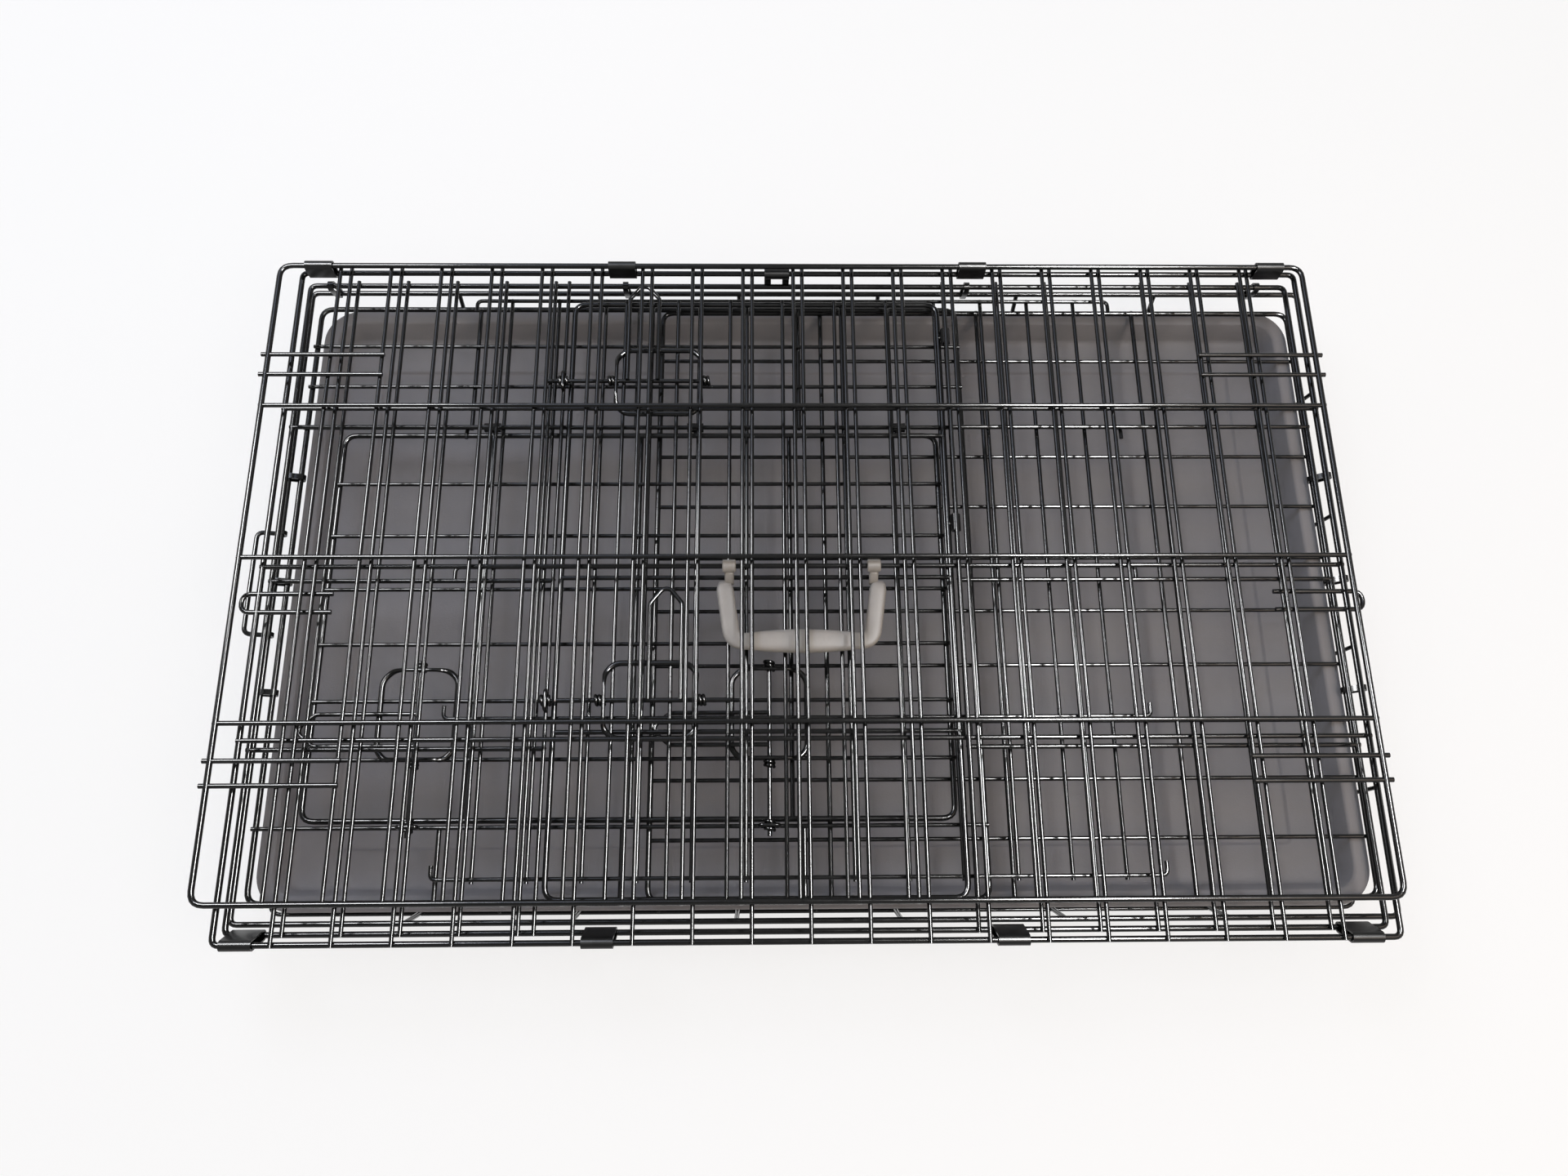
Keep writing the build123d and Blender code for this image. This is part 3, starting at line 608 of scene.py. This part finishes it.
def makeBasket(s):
    x0, y0, z0, x1, y1, z1 = frameLines("base_basket")
    midX, midY = (x0 + x1) / 2, (y0 + y1) / 2
    borderZ, low, high = z1 - half, wire["floor"] / 2, wire["floor"] * 1.5
    fx0, fx1, fy0, fy1 = x0 + s["inset"], x1 - s["inset"], y0 + s["inset"], y1 - s["inset"]
    mesh = newMesh()
    addFrame(mesh, x0, x1, y0, y1, borderZ, s["corner"])
    addWire(mesh, loopPoints(fx0, fx1, fy0, fy1, low), wire["floor"], s["floorCorner"], True)
    risers = spaced(midX, s["pitchX"], s["risers"])
    for x in risers:
        points = [(x, y0, borderZ), (x, fy0, high), (x, fy1, high), (x, y1, borderZ)]
        addWire(mesh, points, wire["floor"], s["bend"])
    plain = spaced(midX, s["pitchX"], s["plainBars"])
    addBarsAlongY(mesh, plain, fy0, fy1, high, wire["floor"])
    long = spaced(midY, s["pitchY"], s["longBars"])
    for y in long:
        addWire(mesh, [(fx0, y, low), (fx1, y, low), (x1, y, borderZ)], wire["floor"], s["bend"])
    addWelds(mesh, risers + plain, [fy0] + long + [fy1], wire["floor"])
    placeMesh(mesh, "basketWires", "wire", "base", ["base_basket"])


makeBasket(basket)
print("wire panels made")

# Slide bolts and their brackets
bracket = {"corner": 6.5, "bend": 12, "sides": 12, "swell": 1.4, "sink": 0.75, "rise": 7,
           "crownThin": 0.35, "coilOut": 2.6}


# One loop of wire: it is welded down on the door's bars and each end rises over the bolt
def makeBracket(node, body, alongX):
    x0, y0, z0, x1, y1, z1 = nodeBox(node)
    edge, cut = wire["latch"] * hexReach, bracket["corner"]
    x0, x1, y0, y1 = x0 + edge, x1 - edge, y0 + edge, y1 - edge
    low, crown = z0 + wire["latch"] / 2 - bracket["sink"], z1 - wire["latch"] / 2
    a0, b0, a1, b1 = (y0, x0, y1, x1) if alongX else (x0, y0, x1, y1)
    top = cut + bracket["rise"]
    end = [(a0, b0 + cut, low), (a0 + cut, b0, low), (a0 + top, b0, crown),
           (a1 - top, b0, crown), (a1 - cut, b0, low), (a1, b0 + cut, low)]
    points = end + [(a0 + a1 - u, b0 + b1 - v, z) for u, v, z in end]
    if alongX:
        points = [(v, u, z) for u, v, z in points]

    # the wire is pressed thinner where it rises over the bolt, so that the bolt runs free
    def crownShare(spot):
        return 1 - bracket["crownThin"] * (spot.z - low) / (crown - low)

    mesh = newMesh()
    thick = wire["latch"] * bracket["swell"]
    addWire(mesh, points, thick, bracket["bend"], True, bracket["sides"], crownShare)
    out = bracket["coilOut"]
    for place in (b0 - out, b1 + out):
        centre = (place, (y0 + y1) / 2) if alongX else ((x0 + x1) / 2, place)
        addCoil(mesh, centre, z0, alongX)
    placeMesh(mesh, node + "Wire", "latch_wire", body, [node])


bolt = {"tail": 46, "rodSides": 14, "fingerWidth": 22, "shoulder": 10.5, "tipWidth": 5, "tipBend": 5,
        "swell": 1.15, "loopSides": 12}


# Rod with a pointed finger loop laid over it
def makeBolt(node, body, alongX):
    s = bolt
    x0, y0, z0, x1, y1, z1 = nodeBox(node)
    boltZ, loopZ = z0 + wire["bolt"] / 2, z1 - wire["finger"] / 2
    reach, edge = wire["finger"] * hexReach, wire["bolt"] * hexReach
    across = [-s["fingerWidth"] / 2, -s["fingerWidth"] / 2, -s["tipWidth"] / 2]
    across += [-u for u in across[::-1]]
    if alongX:
        line, middle, tip = y0 + edge, x1 - s["tail"], y1 - reach
        along = [line, tip - s["shoulder"], tip, tip, tip - s["shoulder"], line]
        loop = [(middle + u, v, loopZ) for u, v in zip(across, along)]
        rod = [(x0, line, boltZ), (x1, line, boltZ)]
    else:
        line, middle, tip = x1 - edge, y1 - s["tail"], x0 + reach
        along = [line, tip + s["shoulder"], tip, tip, tip + s["shoulder"], line]
        loop = [(v, middle + u, loopZ) for u, v in zip(across, along)]
        rod = [(line, y0, boltZ), (line, y1, boltZ)]
    mesh = newMesh()
    addWire(mesh, rod, wire["bolt"], sides=s["rodSides"])
    addWire(mesh, loop, wire["finger"] * s["swell"], s["tipBend"], sides=s["loopSides"])
    placeMesh(mesh, node + "Wire", "latch_wire", body, [node])


for name, body in (("lower", "low"), ("upper", "high")):
    makeBracket("front_bracket_" + name, "base", False)
    makeBracket("side_bracket_" + name, "door_side", True)
    makeBolt("front_bolt_" + name, "front_bolt_" + body, False)
    makeBolt("side_bolt_" + name, "side_bolt_" + body, True)
print("latches made")

# Rolled sheet sleeves and narrow links round the hinge wires
sleeve = {"bore": 2.45, "outer": 3.55, "steps": 8, "length": 20, "linkLength": 4,
          "endGap": 9.5, "innerGap": 3.5, "pitch": 37.1}


# Strip rolled round two wires; first and second are the wires' places in the plane across the hinge line
def addSleeve(mesh, place, first, second, length, alongX):
    a, b = Vector(first), Vector(second)
    run = (b - a).normalized()
    turn = math.atan2(run.y, run.x)
    outline = []
    for centre, start in ((b, turn - math.pi / 2), (a, turn + math.pi / 2)):
        outline += [(centre, start + math.pi * i / sleeve["steps"]) for i in range(sleeve["steps"] + 1)]
    rings = []
    for radius, end in tubeProfile(sleeve["outer"], sleeve["bore"], length / 2):
        ring = []
        for centre, angle in outline:
            u, z = centre.x + radius * math.cos(angle), centre.y + radius * math.sin(angle)
            ring.append((place + end, u, z) if alongX else (u, place + end, z))
        rings.append(ring)
    addShell(mesh, rings, tubeSmooth)


# Place and height of a panel's near or far frame wire
def edgeLine(node, far, topSide):
    x0, y0, z0, x1, y1, z1 = frameLines(node)
    return (y1 if far else y0, z1 - half if topSide else z0 + half)


def makeSleeves(node, first, second, length, body, finishName):
    x0, y0, z0, x1, y1, z1 = nodeBox(node)
    middle = (x0 + x1) / 2
    mesh = newMesh()
    for gap in (-sleeve["endGap"], -sleeve["innerGap"], sleeve["innerGap"], sleeve["endGap"]):
        addSleeve(mesh, middle + gap * sleeve["pitch"], first, second, length, True)
    placeMesh(mesh, node + "Sheet", finishName, body, [node])


makeSleeves("plain_side_sleeves", edgeLine("top_panel", True, False),
            edgeLine("plain_side_panel", True, True), sleeve["length"], "roof", "sheet")
makeSleeves("top_sleeves", edgeLine("door_side_panel", False, False),
            edgeLine("top_panel", False, False), sleeve["length"], "door_side", "sheet")
makeSleeves("door_side_links", edgeLine("base_basket", True, True),
            edgeLine("door_side_panel", True, False), sleeve["linkLength"], "base", "wire")


def makeEndLinks(node, panel, atRight, panelTop):
    bx0, by0, bz0, bx1, by1, bz1 = frameLines("base_basket")
    px0, py0, pz0, px1, py1, pz1 = frameLines(panel)
    x0, y0, z0, x1, y1, z1 = nodeBox(node)
    border = (bx1 if atRight else bx0, bz1 - half)
    hinge = (px1 if atRight else px0, pz1 - half if panelTop else pz0 + half)
    mesh = newMesh()
    for y in (y0 + sleeve["linkLength"] / 2, (y0 + y1) / 2, y1 - sleeve["linkLength"] / 2):
        addSleeve(mesh, y, border, hinge, sleeve["linkLength"], False)
    placeMesh(mesh, node + "Strip", "wire", "base", [node])


makeEndLinks("front_links", "front_end_panel", False, False)
makeEndLinks("rear_links", "rear_end_panel", True, True)
print("sleeves and links made")

# Pan stop: a bail of wire with an eye at each end
panStop = {"reach": 16, "rise": 3, "length": 76, "bend": 5, "sides": 12,
           "eyeSides": 18, "eyeBore": 2.45, "eyeOuter": 4.0, "overlap": 0.6}


def makePanStop(s):
    bx0, by0, bz0, bx1, by1, bz1 = frameLines("base_basket")
    x0, y0, z0, x1, y1, z1 = nodeBox("pan_stop")
    line, lineZ, middle = bx0, bz1 - half, (y0 + y1) / 2
    near, far = middle - s["length"] / 2, middle + s["length"] / 2
    root = line - s["eyeOuter"] + s["overlap"]
    points = [(root, near, lineZ), (line - s["reach"], near, lineZ + s["rise"]),
              (line - s["reach"], far, lineZ + s["rise"]), (root, far, lineZ)]
    mesh = newMesh()
    addWire(mesh, points, wire["stop"], s["bend"], sides=s["sides"])
    profile = tubeProfile(s["eyeOuter"], s["eyeBore"], wire["stop"] / 2)
    for place in (near, far):

        def spot(along, across, up):
            return (line + across, place + along, lineZ + up)

        addEye(mesh, profile, s["eyeSides"], spot, tubeSmooth)
    placeMesh(mesh, "panStopWire", "wire", "stop", ["pan_stop"])


makePanStop(panStop)

# Floor pan: a profile swept round the corners
pan = {"corner": 26, "cornerSteps": 12, "wall": 2.2, "rim": 9, "draft": 12, "step": 27, "least": 5}


def roundedRing(x0, x1, y0, y1, inset, radius, z, steps):
    ring = []
    for cx, cy, start in ((x1, y0, -90), (x1, y1, 0), (x0, y1, 90), (x0, y0, 180)):
        sx = cx - (inset + radius) if cx == x1 else cx + inset + radius
        sy = cy - (inset + radius) if cy == y1 else cy + inset + radius
        for i in range(steps + 1):
            t = math.radians(start + 90 * i / steps)
            ring.append((sx + radius * math.cos(t), sy + radius * math.sin(t), z))
    return ring


def makePan(s):
    x0, y0, z0, x1, y1, z1 = nodeBox("floor_tray")
    height, wall, rim = z1 - z0, s["wall"], s["rim"]
    lean = height * math.sin(math.radians(s["draft"]))
    outside, under = rim + lean, height - wall
    foot, ledge = rim + wall + lean, wall * 2
    drop = foot + s["step"]
    # pairs of distance in from the rim's edge and height above the underside, with small radii at each turn
    profile = [
        # outside, from the underside up, and under the rim
        (outside + 3.0, 0), (outside + 0.9, 0.35), (outside, 1.3),
        (rim + 0.3, under - 0.6), (rim - 0.6, under), (0.7, under), (0.15, under + 0.4),
        # the rim's outer edge and top
        (0, height - 1.1), (0.25, height - 0.45), (0.9, height - 0.05),
        (rim * 0.45, height), (rim - 0.6, height), (rim + 0.9, height - 0.35), (rim + wall, height - 1.4),
        # cove to the ledge
        (foot - 1.0, ledge + 3.6), (foot + 0.4, ledge + 1.6), (foot + 2.6, ledge + 0.5), (foot + 5.5, ledge),
        # step down to the floor
        (drop - 1.4, ledge - 0.15), (drop - 0.4, ledge - 0.5), (drop + 0.3, ledge - 1.3),
        (drop + 1.0, wall + 0.4), (drop + 2.0, wall + 0.06), (drop + 3.4, wall),
    ]
    rings = []
    for inset, up in profile:
        radius = max(s["corner"] - inset, s["least"])
        rings.append(roundedRing(x0, x1, y0, y1, inset, radius, z0 + up, s["cornerSteps"]))
    mesh = newMesh()
    addSkin(mesh, rings)
    placeMesh(mesh, "panMoulding", "tray", "tray", ["floor_tray"])


makePan(pan)
print("pan made")

# Carry handle: one swept moulding for straps and grip, and an eye round the roof's middle rail at each end
handle = {"railShift": 8, "legX": 53.6, "lean": 6, "reach": 51.7,
          "corner": 9, "cornerSteps": 9, "fineStep": 3,
          "strapTop": 9, "strapWide": 5.9, "strapThick": 3.3, "endTrim": (0.62, 0.88),
          "gripWide": 8.1, "gripThick": 4.45, "gripHalf": 38, "gripBlend": 9, "gripClear": 0.05,
          "taper": 0.3, "square": 3.0, "sides": 20,
          "eyeX": 49.8, "eyeHalf": 4.6, "eyeOuter": 4.35, "eyeBore": 2.1, "eyeSides": 24,
          "eyeRound": 0.5, "eyeEdge": 0.6}

# webs that join each eye to its strap: half width, and the half thickness at eye, middle and strap
web = {"wide": 3.2, "thick": (1.6, 2.2, 2.4),
       "intoEye": 0.5, "belowRail": 2.2, "pastEye": 1.2, "intoStrap": 1.5}


# Swept moulding: each section is a place, the run's direction and the half width and half thickness there
def addMoulding(mesh, sections, square, sides):
    rings = []
    for place, run, wide, thick in sections:
        across = Vector((-run[1], run[0], 0)).normalized()
        ring = []
        for k in range(sides):
            t = 2 * math.pi * k / sides
            c, d = math.cos(t), math.sin(t)
            u = math.copysign(abs(c) ** (2 / square), c) * wide
            w = math.copysign(abs(d) ** (2 / square), d) * thick
            ring.append(Vector(place) + across * u + Vector((0, 0, w)))
        rings.append(ring)
    addSkin(mesh, rings)


def makeHandle(s):
    x0, y0, z0, x1, y1, z1 = nodeBox("carry_handle")
    tx0, ty0, tz0, tx1, ty1, tz1 = nodeBox("top_panel")
    middle, railY = (x0 + x1) / 2, (ty0 + ty1) / 2 + s["railShift"]
    railZ = tz0 + wire["frame"] - wire["rail"] / 2
    gripZ = z0 + s["gripThick"] + s["gripClear"]
    gripY, strapY = railY - s["reach"], railY - s["strapTop"]
    legX, gripX = s["legX"], s["legX"] - s["lean"]
    corners = [(middle - legX, strapY, gripZ), (middle - gripX, gripY, gripZ),
               (middle + gripX, gripY, gripZ), (middle + legX, strapY, gripZ)]
    spots = rounded(corners, s["corner"], False, s["cornerSteps"])
    fine = []
    for a, b in zip(spots, spots[1:]):
        steps = max(1, round((b - a).length / s["fineStep"]))
        fine += [a + (b - a) * i / steps for i in range(steps)]
    fine.append(spots[-1])
    sections = []
    for i, spot in enumerate(fine):
        run = (fine[min(i + 1, len(fine) - 1)] - fine[max(i - 1, 0)]).normalized()
        level = max(0.0, 1 - max(0.0, spot.y - gripY) / s["gripBlend"])  # 1 along the grip, 0 up the straps
        swell = 1 - s["taper"] * min(1.0, abs(spot.x - middle) / s["gripHalf"]) ** 2
        wide = s["strapWide"] + (s["gripWide"] * swell - s["strapWide"]) * level
        thick = s["strapThick"] + (s["gripThick"] * swell - s["strapThick"]) * level
        ends = min(i, len(fine) - 1 - i)
        trim = s["endTrim"][ends] if ends < len(s["endTrim"]) else 1.0
        sections.append((spot, run, wide * trim, thick * trim))
    mesh = newMesh()
    addMoulding(mesh, sections, s["square"], s["sides"])
    outer, reach = s["eyeOuter"], s["eyeHalf"]
    edge, inset = outer - s["eyeRound"], reach - s["eyeEdge"]
    profile = [(edge, -reach), (outer, -inset), (outer, inset), (edge, reach),
               (s["eyeBore"], reach), (s["eyeBore"], -reach)]
    for side in (-1, 1):
        x = middle + side * s["eyeX"]
        eyeY = railY - outer
        places = [(x, eyeY + web["intoEye"], railZ - web["belowRail"]),
                  (x, eyeY - web["pastEye"], (railZ + gripZ) / 2), (x, strapY - web["intoStrap"], gripZ)]
        webs = [(place, (0, -1, 0), web["wide"], thick) for place, thick in zip(places, web["thick"])]
        addMoulding(mesh, webs, s["square"], s["sides"])

        def eyeSpot(along, across, up):
            return (x + along, railY + across, railZ + up)

        addEye(mesh, profile, s["eyeSides"], eyeSpot, [False, True] * 3)
    placeMesh(mesh, "handleMoulding", "handle", "roof", ["carry_handle"])


makeHandle(handle)

# Closing clip, pressed from thick sheet: a rolled eye on the roof's far wire, a plate, and two prongs
clip = {"thick": 2.6, "inset": 0.1, "width": 18.6, "prong": 5, "fork": 0.5, "footSteps": 10,
        "eyeBore": 2.45, "eyeOuter": 3.9, "eyeSides": 20}


def makeClip(s):
    x0, y0, z0, x1, y1, z1 = nodeBox("closing_clip")
    y, z = edgeLine("top_panel", True, False)
    middle, wide, prong = (x0 + x1) / 2, s["width"] / 2, s["prong"]
    toe = prong / 2  # radius of a prong's rounded foot
    foot, fork = z0, z0 + (z - z0) * s["fork"]
    outline = [(-wide, z), (-wide, foot + toe)]
    for centre in (-wide + toe, wide - toe):
        for i in range(s["footSteps"] + 1):
            t = math.radians(180 + 180 * i / s["footSteps"])
            outline.append((centre + toe * math.cos(t), foot + toe + toe * math.sin(t)))
        if centre < 0:
            outline += [(-wide + prong, fork), (wide - prong, fork)]
    outline.append((wide, z))
    count = len(outline)
    front = y1 - s["inset"]
    points = [(middle + u, depth, w) for depth in (front - s["thick"], front) for u, w in outline]
    faces = [(k, (k + 1) % count, count + (k + 1) % count, count + k) for k in range(count)]
    mesh = newMesh()
    addFaces(mesh, points, faces + [list(range(count))[::-1], list(range(count, 2 * count))], False)

    def eyeSpot(along, across, up):
        return (middle + along, y + across, z + up)

    addEye(mesh, tubeProfile(s["eyeOuter"], s["eyeBore"], wide), s["eyeSides"], eyeSpot, tubeSmooth)
    placeMesh(mesh, "closingClipSheet", "sheet", "clip", ["closing_clip"])


makeClip(clip)
print("handle and clip made")

# Floor, light and camera; places and sizes here are metres
studio = {"floor": "#fbfaf8", "floorSize": 40.0, "floorGlow": 0.7, "floorRoughness": 0.6,
          "worldColour": "#f6f5f4", "zenith": 0.4, "horizon": 0.97}
softboxes = [
    {"name": "farLeftWindow", "power": 12.5, "size": 1.0, "place": (-0.7, 0.8, 1.6), "colour": "#d6e3ff"},
    {"name": "nearRightFill", "power": 11.5, "size": 1.0, "place": (0.9, -0.6, 1.6), "colour": "#ffe8d4"},
]
# strips seen only in reflections, for the lines of light along the wires
strips = [
    {"name": "ceilingTube", "power": 120.0, "sizeX": 0.22, "sizeY": 0.76, "place": (0.55, -0.02, 1.5)},
    {"name": "leftStrip", "power": 36.0, "sizeX": 0.5, "sizeY": 0.3, "place": (-0.75, 0.4, 1.1)},
]


# Matt painted floor: pale and even, without a reflection of the crate
def makeFloor(s):
    mesh = bpy.data.meshes.new("paleFloor")
    reach = s["floorSize"] / 2
    mesh.from_pydata(loopPoints(-reach, reach, -reach, reach, 0), [], [(0, 1, 2, 3)])
    floor = bpy.data.objects.new("paleFloor", mesh)
    bpy.context.scene.collection.objects.link(floor)
    material, tree, shader = newMaterial("mattPaintedFloor", {
        "Base Color": linearColour(s["floor"]), "Roughness": s["floorRoughness"], "Specular IOR Level": 0.0,
    })
    # seen directly or in a reflection, the floor is part white and part lit, so it keeps the crate's shadow
    path = addNode(tree, "ShaderNodeLightPath").outputs
    seen = path["Is Camera Ray"]
    for ray in ("Is Glossy Ray", "Is Transmission Ray"):
        seen = addNode(tree, "ShaderNodeMath", {"operation": "MAXIMUM"}, {0: seen, 1: path[ray]}).outputs[0]
    share = addNode(tree, "ShaderNodeMapRange", {"To Max": s["floorGlow"]}, {"Value": seen}).outputs[0]
    white = addNode(tree, "ShaderNodeEmission").outputs[0]
    mixed = addNode(tree, "ShaderNodeMixShader", links={0: share, 1: shader.outputs[0], 2: white})
    tree.links.new(mixed.outputs[0], tree.nodes["Material Output"].inputs["Surface"])
    mesh.materials.append(material)


# Pale at the horizon and dimmer overhead, as in a light tent
def makeWorld(s):
    world = bpy.data.worlds.new("softStudio")
    world.use_nodes = True
    tree = world.node_tree
    back = tree.nodes["Background"]
    back.inputs["Color"].default_value = linearColour(s["worldColour"])
    where = addNode(tree, "ShaderNodeTexCoord").outputs["Generated"]
    height = addNode(tree, "ShaderNodeSeparateXYZ", links={"Vector": where})
    level = addNode(tree, "ShaderNodeMapRange", {"To Min": s["horizon"], "To Max": s["zenith"]},
                    {"Value": height.outputs["Z"]})
    tree.links.new(level.outputs[0], back.inputs["Strength"])
    bpy.context.scene.world = world


def addLamp(s):
    data = bpy.data.lights.new(s["name"], "AREA")
    data.energy = s["power"]
    lamp = bpy.data.objects.new(s["name"], data)
    lamp.location = s["place"]
    bpy.context.scene.collection.objects.link(lamp)
    return lamp


def makeLamps():
    for box in softboxes:
        lamp = addLamp(box)
        lamp.data.size = box["size"]
        lamp.data.color = linearColour(box["colour"])[:3]
        lamp.rotation_euler = (-Vector(box["place"])).to_track_quat("-Z", "Y").to_euler()
    for strip in strips:
        lamp = addLamp(strip)
        lamp.data.shape = "RECTANGLE"
        lamp.data.size, lamp.data.size_y = strip["sizeX"], strip["sizeY"]
        # tilted to the crate about its long side alone, so its edges stay in line with the wires
        x, y, z = strip["place"]
        alongX = strip["sizeX"] > strip["sizeY"]
        lamp.rotation_euler = (math.atan2(-y, z), 0, 0) if alongX else (0, math.atan2(x, z), 0)
        lamp.visible_diffuse = False


# place and sensor in millimetres, turn in degrees, focal length in pixels of the image's width
photoCamera = {"place": (-29.7, -280.1, 868.6), "turn": (18.82, -0.92, -0.47),
               "focal": 1500, "imageWidth": 1920, "sensor": 36}


def makeCamera(s):
    data = bpy.data.cameras.new("photoCamera")
    data.sensor_fit = "HORIZONTAL"
    data.sensor_width = s["sensor"]
    data.lens = s["focal"] / s["imageWidth"] * s["sensor"]
    camera = bpy.data.objects.new("photoCamera", data)
    camera.location = [v * millimetre for v in s["place"]]
    camera.rotation_euler = [math.radians(v) for v in s["turn"]]
    bpy.context.scene.collection.objects.link(camera)
    bpy.context.scene.camera = camera


makeFloor(studio)
makeWorld(studio)
makeLamps()
makeCamera(photoCamera)
bpy.context.scene.view_settings.view_transform = "Standard"
print("studio and camera set")
